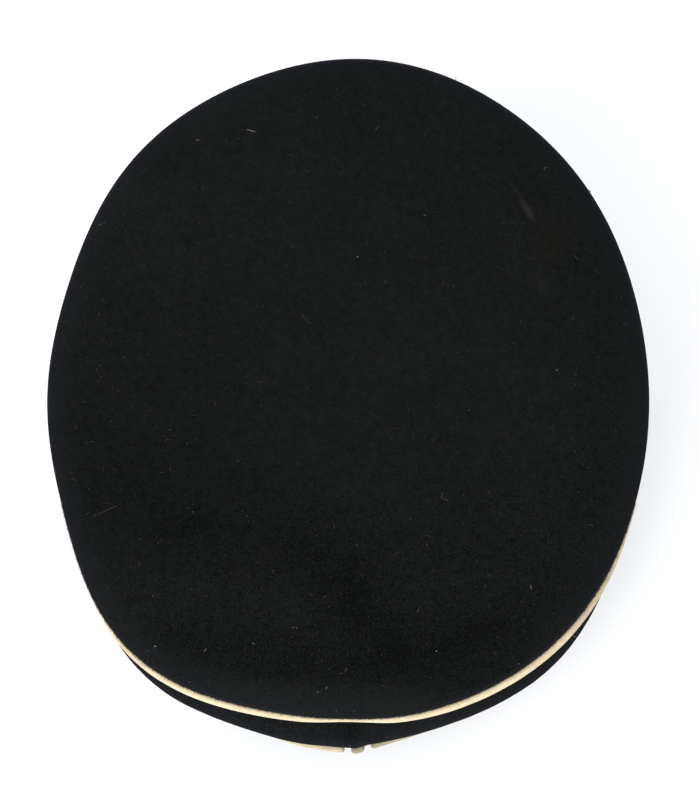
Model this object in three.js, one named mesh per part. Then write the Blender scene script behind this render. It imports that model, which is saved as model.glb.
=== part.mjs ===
// Visor cap: a cloth crown over a cloth-covered head band, with pale piping in its seams and a stiff
// glossy peak. Millimetres, +Z up.
//
// The cap is worked out in a frame of its own: the band's lower edge lies in z = 0 round the origin,
// the peak points along -Y and +X is the wearer's left. At the end the whole cap is leant back until
// it rests on the peak's edge and the back of the band, as it does on a table.
//
// Every piece is a thin closed wall. Its sections stand at angles round the cap, counted from the
// front by the wearer's left, and a section is drawn as points (out, up) from a line that runs round
// the cap: the rim seam or the band's outer face.
import * as THREE from 'three';

// ---------------------------------------------------------------- driving sizes

const CLEARANCE = 0.3; // left between neighbouring pieces
const FACET_CLEARANCE = 0.35; // and where a piping's flat facets make a gap uneven
const CLOTH = 2.0; // thickness of the crown's cloth

const CROWN_CENTRE_Y = -24; // the crown stands forward of the band
const RIM_MEAN = 101; // the rim seam's mean height, and the three waves it makes round the cap
const RIM_RAKE = 18.5; // front high, back low
const RIM_SADDLE = 7; // sides low
const RIM_POINT = 1.5; // front drawn up a little more

// The rim, a row every 22.5 degrees.
//   reach  from the crown's centre to the outer edge of the piping, in plan
//   cover  how far the top cloth stands out past the piping; below 0 the piping lies bare
//   swell  how far the side cloth bows out between the rim and the band
const RIM = [
  { at: 0, reach: 140.0, cover: 0.4, swell: 2.0 },
  { at: 22.5, reach: 137.6, cover: 0.4, swell: 2.4 },
  { at: 45, reach: 134.0, cover: 0.4, swell: 3.2 },
  { at: 67.5, reach: 126.6, cover: 0.4, swell: 4.5 },
  { at: 90, reach: 124.4, cover: 0.4, swell: 7.0 },
  { at: 112.5, reach: 124.5, cover: 0.8, swell: 6.9 },
  { at: 135, reach: 133.9, cover: -1.4, swell: 8.7 },
  { at: 157.5, reach: 131.3, cover: -2.6, swell: 4.8 },
  { at: 180, reach: 128.2, cover: -2.1, swell: 4.0 },
  { at: 202.5, reach: 129.2, cover: -2.9, swell: 4.1 },
  { at: 225, reach: 128.8, cover: -2.9, swell: 8.6 },
  { at: 247.5, reach: 124.3, cover: -0.9, swell: 7.5 },
  { at: 270, reach: 122.9, cover: 0.4, swell: 7.0 },
  { at: 292.5, reach: 126.6, cover: 0.4, swell: 4.5 },
  { at: 315, reach: 133.3, cover: 0.4, swell: 3.2 },
  { at: 337.5, reach: 138.0, cover: 0.4, swell: 2.4 },
];

// The back seam draws the rim in, and the cloth further over the piping, on top of the rows above.
const RIM_AT_BACK_SEAM = { reach: -1.5, cover: 1.2, swell: 0 };
const RIM_SEAM_ANGLE = 0.11; // to each side of the seam

// Soft valleys in the slack cloth at the back of the top, each along a line of places: x, y and how
// deep it is there. A depth below 0 is a swell.
const FOLDS = [
  { width: 14, line: [[96, 13, 0.6], [60, 26, 1.8], [22, 32, 2.2], [1, 47, 2.8], [-18, 75, 3]] },
  { width: 8, line: [[72, 68, 1.2], [8, 80, 1.6], [-12, 80, 0.8]] },
  { width: 8, line: [[-25, 76, 0.8], [-40, 70, 1.6], [-62, 65, 0.8]] },
  { width: 15, line: [[46, 47, -0.3], [26, 56, -0.9]] },
];

const RIM_PIPING_R = 1.6;
const SHOULDER_IN = 11; // the top cloth rolls over the rim inside this width
const SHOULDER_UP = 9.4; // and rises this far above the seam

const BAND_HALF_WIDTH = 85.5;
const BAND_HALF_LENGTH = 102.8;
const BAND_ROUNDNESS = 2.2; // 2 is an ellipse, more is squarer
const BAND_HEIGHT = 46; // lower edge to the middle of its piping
const BAND_WALL = 3;
const BAND_FLARE = 4; // it widens upwards, this much on every side up to its piping
const BAND_PINCH = 3.2; // the back seam is drawn out to a soft point
const BAND_PINCH_X = -2.5; // just beside it
const BAND_PINCH_WIDTH = 18;
const BAND_DIP = 1; // and a little down
const BAND_SKEW = 1.35; // left of the back seam it stands out this much more, right of it less
const BAND_SKEW_WIDTH = 25; // most at this distance from the seam
const BAND_FLAT = 0.6; // the lower edge is flattened this much where it rests

const BAND_PIPING_R = 1.6;
const BAND_PIPING_OUT = 0.9; // its middle, from the band's outer face
const BAND_PIPING_DRAW = 0.8; // the back seam draws it out this much more
const PIPING_LEFT_END_X = 2.1; // where the two ends of the band piping stop beside the back seam
const PIPING_RIGHT_END_X = -8.4;
const PIPING_LUMP_X = [-0.5, -5.9]; // the folded lump between them

const PEAK_HALF_ANGLE = 68; // round the band, from the front
const PEAK_UNDER_BAND = 2.4; // its root is tucked this far under the band
const PEAK_REACH = 40; // forward of the band
const PEAK_DROP = 35; // below the band's lower edge
const PEAK_THICK = 2.2;
const PEAK_END_REACH = 3.4; // its ends are this wide, tuck and all
const PEAK_END_FALL = 0.6; // and slope down this much
const PEAK_SPREAD = 0.05; // how much wider its edge is than its root
const PEAK_CROWNING = 2.5; // bow of the peak between root and edge
const PEAK_LEVEL_SHARE = 0.3; // this middle share of the edge lies level on the table

const STEPS_ROUND = 72; // sections round the whole cap

// ---------------------------------------------------------------- lines round the cap

const radians = THREE.MathUtils.degToRad;

/** The direction out of the cap at an angle, level. */
function outward(angle) {
  return new THREE.Vector3(Math.sin(angle), -Math.cos(angle), 0);
}

/** A column of the rim table at any angle: each row counts by a smooth wave that is 1 at its own
 *  angle and 0 at every other row's. */
function rim(column, angle) {
  const rows = RIM.length;
  let sum = 0;
  for (const row of RIM) {
    const half = (angle - radians(row.at)) / 2;
    const isOnRow = Math.abs(Math.sin(half)) < 1e-9;
    const weight = isOnRow ? 1 : Math.sin(rows * half) / (rows * Math.tan(half));
    sum += weight * row[column];
  }
  const atSeam = Math.exp((-2 * (1 + Math.cos(angle))) / RIM_SEAM_ANGLE ** 2);
  return sum + RIM_AT_BACK_SEAM[column] * atSeam;
}

/** The rim seam's height, its waves fading by their power of `share` towards the middle (share 1 is
 *  the rim), which is the surface that stretched cloth takes. */
function rimHeight(angle, share = 1) {
  const rake = RIM_RAKE * share * Math.cos(angle);
  const saddle = RIM_SADDLE * share ** 2 * Math.cos(2 * angle);
  const point = RIM_POINT * share ** 3 * Math.cos(3 * angle);
  return RIM_MEAN + rake + saddle + point;
}

/** A point of the rim: `out` and `up` are counted from the middle of the rim piping. */
function rimPoint(angle, out, up) {
  const distance = rim('reach', angle) - RIM_PIPING_R + out;
  const point = outward(angle).multiplyScalar(distance);
  return point.add(new THREE.Vector3(0, CROWN_CENTRE_Y, rimHeight(angle) + up));
}

/** How strongly the back seam draws the band, 1 at the seam. */
function seamPull(x, y) {
  return y > 0 ? Math.exp(-Math.abs(x - BAND_PINCH_X) / BAND_PINCH_WIDTH) : 0;
}

/** How far the band stands out or in beside the back seam, an S about the seam. */
function seamSkew(x, y) {
  const share = x / BAND_SKEW_WIDTH;
  return y > 0 ? BAND_SKEW * share * Math.exp(0.5 - 0.5 * share ** 2) : 0;
}

/** A point of the band: `out` is counted from its outer face, a squared oval that widens upwards and
 *  is drawn out at the back seam, and `up` from its lower edge. */
function bandPoint(angle, out, up) {
  const flared = out + (BAND_FLARE * up) / BAND_HEIGHT;
  const along = Math.abs(Math.cos(angle)) / (BAND_HALF_LENGTH + flared);
  const across = Math.abs(Math.sin(angle)) / (BAND_HALF_WIDTH + flared);
  const distance = (along ** BAND_ROUNDNESS + across ** BAND_ROUNDNESS) ** (-1 / BAND_ROUNDNESS);
  const point = outward(angle).multiplyScalar(distance);
  const pull = seamPull(point.x, point.y);
  point.y += BAND_PINCH * pull + seamSkew(point.x, point.y);
  point.z = up - (BAND_DIP * pull * up) / BAND_HEIGHT;
  return point;
}

/** How far the middle of the band's piping stands out from the band's outer face. */
function bandPipingOut(angle) {
  const place = bandPoint(angle, 0, BAND_HEIGHT);
  return BAND_PIPING_OUT + BAND_PIPING_DRAW * seamPull(place.x, place.y);
}

/** The angle at which the band's back has the sideways place x, found by halving. */
function backAngle(x) {
  let low = x > 0 ? Math.PI / 2 : Math.PI;
  let high = low + Math.PI / 2;
  for (let i = 0; i < 40; i++) {
    const middle = (low + high) / 2;
    if (bandPoint(middle, BAND_PIPING_OUT, 0).x > x) {
      low = middle;
    } else {
      high = middle;
    }
  }
  return (low + high) / 2;
}

// ---------------------------------------------------------------- how it rests

const BACK_Y = bandPoint(Math.PI, 0, 0).y;
const PEAK_TIP_Y = -(BAND_HALF_LENGTH + PEAK_REACH);
const LEAN = Math.atan2(PEAK_DROP + BAND_FLAT, BACK_Y - PEAK_TIP_Y);

/** The table's height in the cap's own frame, a plane that falls towards the front. */
function tableHeight(y) {
  return BAND_FLAT + (y - BACK_Y) * Math.tan(LEAN);
}

// ---------------------------------------------------------------- closed walls

/** Joins equal outlines into strips of triangles. `isClosed` joins each outline's end to its start,
 *  `isRing` joins the last outline to the first. */
function strips(loopCount, pointCount, isClosed, isRing) {
  const index = [];
  const loops = isRing ? loopCount : loopCount - 1;
  const points = isClosed ? pointCount : pointCount - 1;
  for (let i = 0; i < loops; i++) {
    for (let j = 0; j < points; j++) {
      const here = i * pointCount;
      const next = ((i + 1) % loopCount) * pointCount;
      const k = (j + 1) % pointCount;
      index.push(here + j, here + k, next + k);
      index.push(here + j, next + k, next + j);
    }
  }
  return index;
}

function geometryOf(points, index) {
  const geometry = new THREE.BufferGeometry();
  const positions = points.flatMap((point) => point.toArray());
  geometry.setAttribute('position', new THREE.Float32BufferAttribute(positions, 3));
  geometry.setIndex(index);
  return geometry;
}

/** A ring swept round the whole cap. */
function ring(section) {
  const loops = [];
  for (let i = 0; i < STEPS_ROUND; i++) {
    loops.push(section((i * 2 * Math.PI) / STEPS_ROUND));
  }
  const index = strips(loops.length, loops[0].length, true, true);
  return geometryOf(loops.flat(), index);
}

/** A run of outlines with a flat cap on each end. `flat` gives a point's place in the cap's plane. */
function run(loops, flat) {
  const count = loops[0].length;
  const index = strips(loops.length, count, true, false);
  const outline = loops[0].map(flat);
  const lastLoop = count * (loops.length - 1);
  for (const [a, b, c] of THREE.ShapeUtils.triangulateShape(outline, [])) {
    index.push(a, b, c);
    index.push(lastLoop + a, lastLoop + c, lastLoop + b);
  }
  return geometryOf(loops.flat(), index);
}

/** A wall without a hole in its middle: each section runs from the upper middle out, round the edge
 *  and back to the lower middle. */
function dome(section, upperMiddle, lowerMiddle) {
  const loops = [];
  for (let i = 0; i < STEPS_ROUND; i++) {
    loops.push(section((i * 2 * Math.PI) / STEPS_ROUND));
  }
  const count = loops[0].length;
  const index = strips(loops.length, count, false, true);
  const upper = loops.length * count;
  const lower = upper + 1;
  for (let i = 0; i < loops.length; i++) {
    const here = i * count;
    const next = ((i + 1) % loops.length) * count;
    index.push(upper, here, next);
    index.push(lower, next + count - 1, here + count - 1);
  }
  return geometryOf([...loops.flat(), upperMiddle, lowerMiddle], index);
}

/** A round outline about a middle, square to the way the cap goes round there. */
function roundOutline(middle, angle, radius, sides) {
  const points = [];
  for (let i = 0; i < sides; i++) {
    const turn = (-i * 2 * Math.PI) / sides;
    const point = outward(angle).multiplyScalar(radius * Math.cos(turn));
    points.push(point.add(new THREE.Vector3(0, 0, radius * Math.sin(turn))).add(middle));
  }
  return points;
}

/** A point's distance from the cap's axis and its height. */
function outAndUp(point) {
  return new THREE.Vector2(Math.hypot(point.x, point.y), point.z);
}

// ---------------------------------------------------------------- crown

/** How far the top cloth's edge stands out from the middle of the piping. */
function clothEdge(angle) {
  return RIM_PIPING_R + rim('cover', angle);
}

/** The height of the top cloth's hem: over the piping, or down beside it where the piping is bare. */
function hemHeight(angle) {
  const clear = RIM_PIPING_R + FACET_CLEARANCE;
  const beside = THREE.MathUtils.clamp(clothEdge(angle) - 0.5, -RIM_PIPING_R, 0);
  return Math.sqrt(clear ** 2 - beside ** 2);
}

/** How deep the folds are at a place: each falls off as a bell with the distance from its line. */
function foldDepth(place) {
  let depth = 0;
  for (const fold of FOLDS) {
    let nearest = Infinity;
    let deep = 0;
    for (let i = 1; i < fold.line.length; i++) {
      const [startX, startY, startDepth] = fold.line[i - 1];
      const [endX, endY, endDepth] = fold.line[i];
      const start = new THREE.Vector3(startX, startY, 0);
      const stretch = new THREE.Line3(start, new THREE.Vector3(endX, endY, 0));
      const share = stretch.closestPointToPointParameter(place, true);
      const distance = stretch.at(share, new THREE.Vector3()).distanceTo(place);
      if (distance < nearest) {
        nearest = distance;
        deep = THREE.MathUtils.lerp(startDepth, endDepth, share);
      }
    }
    depth += deep * Math.exp(-((nearest / fold.width) ** 2));
  }
  return depth;
}

/** The stretched top inside the roll: share 0 is the middle, 1 the shoulder, where folds end. */
function topPoint(angle, share, below) {
  const shoulder = rimPoint(angle, clothEdge(angle) - SHOULDER_IN, 0).setZ(0);
  const point = new THREE.Vector3(0, CROWN_CENTRE_Y, 0).lerp(shoulder, share);
  const slack = 1 - share ** 16;
  point.z = rimHeight(angle, share) + SHOULDER_UP - slack * foldDepth(point) - below;
  return point;
}

const TOP_SHARES = [0.15, 0.3, 0.44, 0.56, 0.67, 0.77, 0.86, 0.94, 1];

/** The top's section: out over the stretched cloth, down the roll, in under the hem, and back. */
function topSection(angle) {
  const edge = clothEdge(angle);
  const hem = hemHeight(angle);
  const hemIn = Math.min(edge - 2.9, -3.8);
  const roll = [
    [edge - 6.6, 8.7], [edge - 3.2, 7.2], [edge - 1, 5], [edge, hem + 1], [edge - 0.5, hem],
    [hemIn, hem], [hemIn, hem + 1.6], [edge - 2.3, hem + 1.6],
    [edge - 3.2, 4.8], [edge - 5, 5.9], [edge - 7.4, 6.8],
  ];
  const upper = TOP_SHARES.map((share) => topPoint(angle, share, 0));
  const lower = TOP_SHARES.map((share) => topPoint(angle, share, CLOTH)).reverse();
  return [...upper, ...roll.map(([out, up]) => rimPoint(angle, out, up)), ...lower];
}

function crownTop() {
  return dome(topSection, topPoint(0, 0, 0), topPoint(0, 0, CLOTH));
}

function crownPiping() {
  return ring((angle) => roundOutline(rimPoint(angle, 0, 0), angle, RIM_PIPING_R, 8));
}

const WALL_SHARES = [0, 0.1, 0.25, 0.42, 0.6, 0.78, 0.92, 1];

/** The side cloth's outer face from the rim (share 0) to the band (share 1), bowed out by a half wave
 *  square to the straight line between them, and its inner face, moved in level. */
function wallPoints(angle, share) {
  const top = rimPoint(angle, 0.5, -2.2);
  const bottom = bandPoint(angle, 0.9, BAND_HEIGHT + BAND_PIPING_R + FACET_CLEARANCE);
  const out = outward(angle);
  const fall = bottom.clone().sub(top);
  const square = new THREE.Vector3().crossVectors(fall, new THREE.Vector3().crossVectors(out, fall));
  square.normalize();
  const outer = top.add(fall.multiplyScalar(share));
  outer.addScaledVector(square, rim('swell', angle) * Math.sin(Math.PI * share));
  const inner = outer.clone().addScaledVector(out, -CLOTH / square.dot(out));
  return { outer, inner };
}

/** The side cloth's section: its turned-in edge stands behind the piping, then the wall goes down to
 *  the band and back up inside. */
function wallSection(angle) {
  const edgeUp = hemHeight(angle) - FACET_CLEARANCE;
  const turnedIn = [[-1.95, edgeUp], [-1.95, -0.6], [-0.9, -1.9]];
  const turnedBack = [[-3.55, -2.6], [-3.55, edgeUp]];
  const wall = WALL_SHARES.map((share) => wallPoints(angle, share));
  return [
    ...turnedIn.map(([out, up]) => rimPoint(angle, out, up)),
    ...wall.map((pair) => pair.outer),
    ...wall.slice(1).map((pair) => pair.inner).reverse(),
    ...turnedBack.map(([out, up]) => rimPoint(angle, out, up)),
  ];
}

/** One quarter of the crown's side, stopped short of its neighbours. */
function crownQuarter(fromDegrees) {
  const short = (0.5 * CLEARANCE) / BAND_HALF_WIDTH;
  const from = radians(fromDegrees) + short;
  const to = radians(fromDegrees + 90) - short;
  const steps = STEPS_ROUND / 4;
  const loops = [];
  for (let i = 0; i <= steps; i++) {
    loops.push(wallSection(from + ((to - from) * i) / steps));
  }
  return run(loops, outAndUp);
}

// ---------------------------------------------------------------- band

/** The band's section: outer face, a rebate for the piping, a lip behind it, and the inner face. Its
 *  lower edge never reaches below the table. */
function bandSection(angle) {
  const low = (out) => {
    const point = bandPoint(angle, out, 0);
    point.z = Math.max(point.z, tableHeight(point.y));
    return point;
  };
  const lip = BAND_HEIGHT + BAND_PIPING_R;
  const behind = bandPipingOut(angle) - BAND_PIPING_R - FACET_CLEARANCE;
  return [
    bandPoint(angle, behind, lip), bandPoint(angle, behind, BAND_HEIGHT - 0.8),
    bandPoint(angle, 0, BAND_HEIGHT - 1.8), bandPoint(angle, 0, BAND_HEIGHT / 2), low(0),
    low(-BAND_WALL), bandPoint(angle, -BAND_WALL, BAND_HEIGHT / 2),
    bandPoint(angle, -BAND_WALL, lip),
  ];
}

/** A stretch of the band's piping between two angles, with rounded ends. */
function bandPipingRun(from, to, steps, radius) {
  const ends = [[0, 0.5], [0.35, 0.85]]; // way in from the end in radii, share of the radius
  const radiansPerRadius = radius / BAND_HALF_LENGTH;
  const places = ends.map(([way, share]) => ({ angle: from + way * radiansPerRadius, share }));
  const start = from + radiansPerRadius;
  const stop = to - radiansPerRadius;
  for (let i = 0; i <= steps; i++) {
    places.push({ angle: start + ((stop - start) * i) / steps, share: 1 });
  }
  for (const [way, share] of [...ends].reverse()) {
    places.push({ angle: to - way * radiansPerRadius, share });
  }
  const loops = places.map(({ angle, share }) => {
    const middle = bandPoint(angle, bandPipingOut(angle), BAND_HEIGHT);
    return roundOutline(middle, angle, radius * share, 8);
  });
  return run(loops, outAndUp);
}

function bandPiping() {
  const from = backAngle(PIPING_RIGHT_END_X) - 2 * Math.PI;
  const to = backAngle(PIPING_LEFT_END_X);
  return bandPipingRun(from, to, STEPS_ROUND, BAND_PIPING_R);
}

function pipingEnd() {
  const [from, to] = PIPING_LUMP_X.map(backAngle);
  return bandPipingRun(from, to, 2, BAND_PIPING_R);
}

// ---------------------------------------------------------------- peak

/** The peak's upper face: `side` runs from -1 to 1 across it and `way` from 0 at the root under the
 *  band to 1 at its edge. The edge's middle lies on the table and its ends rise to the band. */
function peakPoint(side, way) {
  const angle = side * radians(PEAK_HALF_ANGLE);
  const root = bandPoint(angle, -PEAK_UNDER_BAND, -FACET_CLEARANCE);
  const swing = Math.cos((side * Math.PI) / 2);
  const longest = PEAK_REACH + PEAK_UNDER_BAND;
  const reach = THREE.MathUtils.lerp(PEAK_END_REACH, longest, swing);
  const splay = (1 - swing) ** 1.5;
  const forward = new THREE.Vector3(0, -1, 0).lerp(outward(angle), splay).normalize();
  const edge = root.clone().addScaledVector(forward, reach);
  edge.x *= 1 + PEAK_SPREAD * swing;
  const rise = THREE.MathUtils.smoothstep(Math.abs(side), PEAK_LEVEL_SHARE, 1) ** 1.5;
  const level = tableHeight(edge.y) + PEAK_THICK;
  edge.z = THREE.MathUtils.lerp(level, root.z - PEAK_END_FALL, rise);
  const point = root.lerp(edge, way);
  point.z += PEAK_CROWNING * swing * Math.sin(Math.PI * way);
  return point;
}

/** The peak: an upper and a lower face a thickness apart, swept from one end to the other. */
function peak() {
  const steps = 28;
  const ways = [0, 0.2, 0.4, 0.6, 0.8, 0.97, 1];
  const loops = [];
  for (let i = 0; i <= steps; i++) {
    const side = (2 * i) / steps - 1;
    const upper = ways.map((way) => peakPoint(side, way));
    const lower = ways.map((way) => peakPoint(side, way).setZ(peakPoint(side, way).z - PEAK_THICK));
    loops.push([...upper, ...lower.reverse()]);
  }
  return run(loops, (point) => new THREE.Vector2(-point.y, point.z));
}

// ---------------------------------------------------------------- the cap

const CLOTH_BLACK = { color: 0x1a1c1b, roughness: 0.95, metalness: 0 };
const PIPING_CREAM = { color: 0xf3e5c5, roughness: 0.9, metalness: 0 };
const PEAK_BLACK = { color: 0x0c0c0d, roughness: 0.18, metalness: 0 };

const PIECES = [
  ['crown_top', crownTop, CLOTH_BLACK],
  ['crown_quarter_front_left', () => crownQuarter(0), CLOTH_BLACK],
  ['crown_quarter_rear_left', () => crownQuarter(90), CLOTH_BLACK],
  ['crown_quarter_rear_right', () => crownQuarter(180), CLOTH_BLACK],
  ['crown_quarter_front_right', () => crownQuarter(270), CLOTH_BLACK],
  ['crown_piping', crownPiping, PIPING_CREAM],
  ['cap_band', () => ring(bandSection), CLOTH_BLACK],
  ['band_piping', bandPiping, PIPING_CREAM],
  ['piping_end', pipingEnd, PIPING_CREAM],
  ['peak', peak, PEAK_BLACK],
];

const leaning = new THREE.Group();
leaning.rotation.x = -LEAN;
for (const [name, shape, finish] of PIECES) {
  const mesh = new THREE.Mesh(shape(), new THREE.MeshStandardMaterial(finish));
  mesh.name = name;
  leaning.add(mesh);
}

// The origin is under the middle of the resting cap.
const cap = new THREE.Group();
cap.add(leaning);
cap.updateMatrixWorld(true);
const box = new THREE.Box3().setFromObject(cap, true);
leaning.position.set(-(box.min.x + box.max.x) / 2, -(box.min.y + box.max.y) / 2, -box.min.z);

export default cap;
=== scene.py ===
"""The looks of a cloth visor cap: wool crown and band, pale piping in the seams, glossy peak.

Shapes are worked out in millimetres in the cap's own frame: the band's lower edge lies in z = 0
round the origin, the peak points along -Y and +X is the wearer's left. Angles are counted round the
cap from the front by the wearer's left. lean_back() then puts every point where the resting cap has
it.
"""

import math

import bpy
import numpy as np
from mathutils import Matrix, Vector


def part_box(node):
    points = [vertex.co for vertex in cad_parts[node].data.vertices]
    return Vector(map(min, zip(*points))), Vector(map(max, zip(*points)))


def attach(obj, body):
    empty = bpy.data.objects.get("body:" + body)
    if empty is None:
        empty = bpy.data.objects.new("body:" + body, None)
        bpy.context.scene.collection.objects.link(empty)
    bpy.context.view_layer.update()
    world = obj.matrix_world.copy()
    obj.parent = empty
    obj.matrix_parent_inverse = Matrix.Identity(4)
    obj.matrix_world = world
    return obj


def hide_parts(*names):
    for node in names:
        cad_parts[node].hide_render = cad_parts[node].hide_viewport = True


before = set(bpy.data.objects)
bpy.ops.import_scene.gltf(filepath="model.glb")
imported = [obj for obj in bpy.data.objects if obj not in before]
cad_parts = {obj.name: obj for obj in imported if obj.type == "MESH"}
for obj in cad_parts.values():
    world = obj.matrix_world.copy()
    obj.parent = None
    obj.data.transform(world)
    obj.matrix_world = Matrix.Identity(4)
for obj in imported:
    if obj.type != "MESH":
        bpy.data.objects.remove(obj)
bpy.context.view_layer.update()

MM = 0.001
FULL_TURN = 2 * math.pi

# ---- sizes of the cap

CLOTH = 2.0  # thickness of the crown's cloth
FACET_GAP = 0.35  # left round the pipings

CROWN_CENTRE_Y = -24
RIM_MEAN = 101  # the rim seam's mean height, and its three waves round the cap
RIM_RAKE = 18.5
RIM_SADDLE = 7
RIM_POINT = 1.5


def table(columns, rows):
    """Rows of numbers with named columns."""
    return np.array(rows, dtype=[(column, float) for column in columns.split()])


# The rim: reach from the crown's centre to the piping's outer edge, how far the top cloth covers
# the piping, and how far the side cloth bows out.
RIM = table(
    "at reach cover swell",
    [
        (0, 140.0, 0.4, 2.0), (22.5, 137.6, 0.4, 2.4),
        (45, 134.0, 0.4, 3.2), (67.5, 126.6, 0.4, 4.5),
        (90, 124.4, 0.4, 7.0), (112.5, 124.5, 0.8, 6.9),
        (135, 133.9, -1.4, 8.7), (157.5, 131.3, -2.6, 4.8),
        (180, 128.2, -2.1, 4.0), (202.5, 129.2, -2.9, 4.1),
        (225, 128.8, -2.9, 8.6), (247.5, 124.3, -0.9, 7.5),
        (270, 122.9, 0.4, 7.0), (292.5, 126.6, 0.4, 4.5),
        (315, 133.3, 0.4, 3.2), (337.5, 138.0, 0.4, 2.4),
    ],
)

RIM_AT_BACK_SEAM = {"reach": -1.5, "cover": 1.2, "swell": 0}
RIM_SEAM_ANGLE = 0.11

# Soft folds in the slack cloth at the back of the top: a width and a line of (x, y, depth) places.
# A depth below 0 is a swell.
FOLDS = [
    (14, [(96, 13, 0.6), (60, 26, 1.8), (22, 32, 2.2), (1, 47, 2.8), (-18, 75, 3.0)]),
    (8, [(72, 68, 1.2), (8, 80, 1.6), (-12, 80, 0.8)]),
    (8, [(-25, 76, 0.8), (-40, 70, 1.6), (-62, 65, 0.8)]),
    (15, [(46, 47, -0.3), (26, 56, -0.9)]),
    (3.5, [(-42, 68.5, 0.5), (-50, 66.8, 1.1), (-60, 64.5, 1.3), (-68, 61.8, 0.5)]),
]

RIM_PIPING_R = 1.6
SHOULDER_IN = 11  # the top's shoulder, in from its edge and up from the rim
SHOULDER_UP = 9.4

BAND_HALF_WIDTH = 85.5
BAND_HALF_LENGTH = 102.8
BAND_ROUNDNESS = 2.2
BAND_HEIGHT = 46
BAND_WALL = 3
BAND_FLARE = 4  # wider at its upper edge by this on each side
BAND_PINCH = 3.2  # how far the back seam draws it out
BAND_PINCH_X = -2.5
BAND_PINCH_WIDTH = 18
BAND_DIP = 1  # how far the back seam draws its upper edge down
BAND_SKEW = 1.35
BAND_SKEW_WIDTH = 25
BAND_FLAT = 0.6  # pressed flat where it stands

BAND_PIPING_R = 1.6
BAND_PIPING_OUT = 0.9
BAND_PIPING_DRAW = 0.8  # the back seam draws it out this much more
PIPING_LEFT_END_X = 2.1
PIPING_RIGHT_END_X = -8.4
PIPING_LUMP_X = (-0.5, -5.9)

PEAK_HALF_ANGLE = 68
PEAK_UNDER_BAND = 2.4
PEAK_GAP = 0.05  # under the band's lower edge
PEAK_REACH = 40
PEAK_DROP = 35
PEAK_THICK = 2.2
PEAK_END_REACH = 3.4
PEAK_END_FALL = 0.6
PEAK_SPREAD = 0.05  # its edge is wider than its root by this share
PEAK_CROWNING = 2.5
PEAK_LEVEL_SHARE = 0.3  # so much of its edge lies on the table

# ---- lines round the cap


def outward(angle):
    """The level direction out of the cap: (sin a, -cos a, 0)."""
    angle = np.asarray(angle, float)
    return np.stack([np.sin(angle), -np.cos(angle), np.zeros_like(angle)], -1)


def rim(column, angle):
    """A rim column at any angle: the rows' sum, each times a wave that is 1 at its own angle and
    0 at the other rows': sin(n h) / (n tan h), with h half the angle between and n rows. The back
    seam adds its share by a bell."""
    at_seam = np.exp(-2 * (1 + np.cos(angle)) / RIM_SEAM_ANGLE**2)
    half = (np.asarray(angle, float)[..., None] - np.radians(RIM["at"])) / 2
    on_row = np.abs(np.sin(half)) < 1e-9
    safe = np.where(on_row, 1.0, half)
    wave = np.where(on_row, 1.0, np.sin(len(RIM) * safe) / (len(RIM) * np.tan(safe)))
    return (wave * RIM[column]).sum(-1) + RIM_AT_BACK_SEAM[column] * at_seam


def rim_height(angle, share=1.0):
    """The rim seam's height: a mean and one, two and three waves round the cap, which fade
    towards the middle by powers of share, as a stretched skin does."""
    rake = RIM_RAKE * share * np.cos(angle)
    saddle = RIM_SADDLE * share**2 * np.cos(2 * angle)
    point = RIM_POINT * share**3 * np.cos(3 * angle)
    return RIM_MEAN + rake + saddle + point


def rim_point(angle, out, up):
    """A point counted outwards and upwards from the middle of the rim piping."""
    distance = rim("reach", angle) - RIM_PIPING_R + out
    point = outward(angle) * distance[..., None]
    point[..., 1] += CROWN_CENTRE_Y
    point[..., 2] = rim_height(angle) + up
    return point


def seam_pull(point):
    """How strongly the back seam draws the band: exp(-|x - middle| / width), at the back only."""
    pull = np.exp(-np.abs(point[..., 0] - BAND_PINCH_X) / BAND_PINCH_WIDTH)
    return pull * (point[..., 1] > 0)


def band_point(angle, out, up):
    """A point of the band: a squared oval (the axes' shares to one power add up to 1) that widens
    upwards, drawn out and down at the back seam, with an S beside it, s exp(0.5 - 0.5 s^2)."""
    angle, out, up = np.broadcast_arrays(angle, out, up)
    flared = out + BAND_FLARE * up / BAND_HEIGHT
    along = np.abs(np.cos(angle)) / (BAND_HALF_LENGTH + flared)
    across = np.abs(np.sin(angle)) / (BAND_HALF_WIDTH + flared)
    distance = (along**BAND_ROUNDNESS + across**BAND_ROUNDNESS) ** (-1 / BAND_ROUNDNESS)
    point = outward(angle) * distance[..., None]
    pull = seam_pull(point)
    skew = point[..., 0] / BAND_SKEW_WIDTH
    skew = BAND_SKEW * skew * np.exp(0.5 - 0.5 * skew**2) * (point[..., 1] > 0)
    point[..., 1] += BAND_PINCH * pull + skew
    point[..., 2] = up - BAND_DIP * pull * up / BAND_HEIGHT
    return point


def band_piping_out(angle):
    """How far the middle of the band's piping stands out from the band's outer face."""
    return BAND_PIPING_OUT + BAND_PIPING_DRAW * seam_pull(band_point(angle, 0, BAND_HEIGHT))


def back_angle(x):
    """The angle at which the band's back has the place x, read off a fine row of angles."""
    angles = np.linspace(math.pi * 0.75, math.pi * 1.25, 4001)
    places = band_point(angles, BAND_PIPING_OUT, 0)[:, 0]
    return float(np.interp(-x, -places, angles))


BACK_Y = float(band_point(math.pi, 0, 0)[1])
LEAN = math.atan2(PEAK_DROP + BAND_FLAT, BACK_Y + BAND_HALF_LENGTH + PEAK_REACH)


def table_height(y):
    """The table in the cap's own frame: a plane that falls towards the front."""
    return BAND_FLAT + (y - BACK_Y) * math.tan(LEAN)


def tip(points):
    """The lean alone: a turn about X that lifts the front."""
    x, y, z = np.moveaxis(np.asarray(points, float), -1, 0)
    cos, sin = math.cos(LEAN), math.sin(LEAN)
    return np.stack([x, y * cos + z * sin, z * cos - y * sin], -1)


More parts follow.
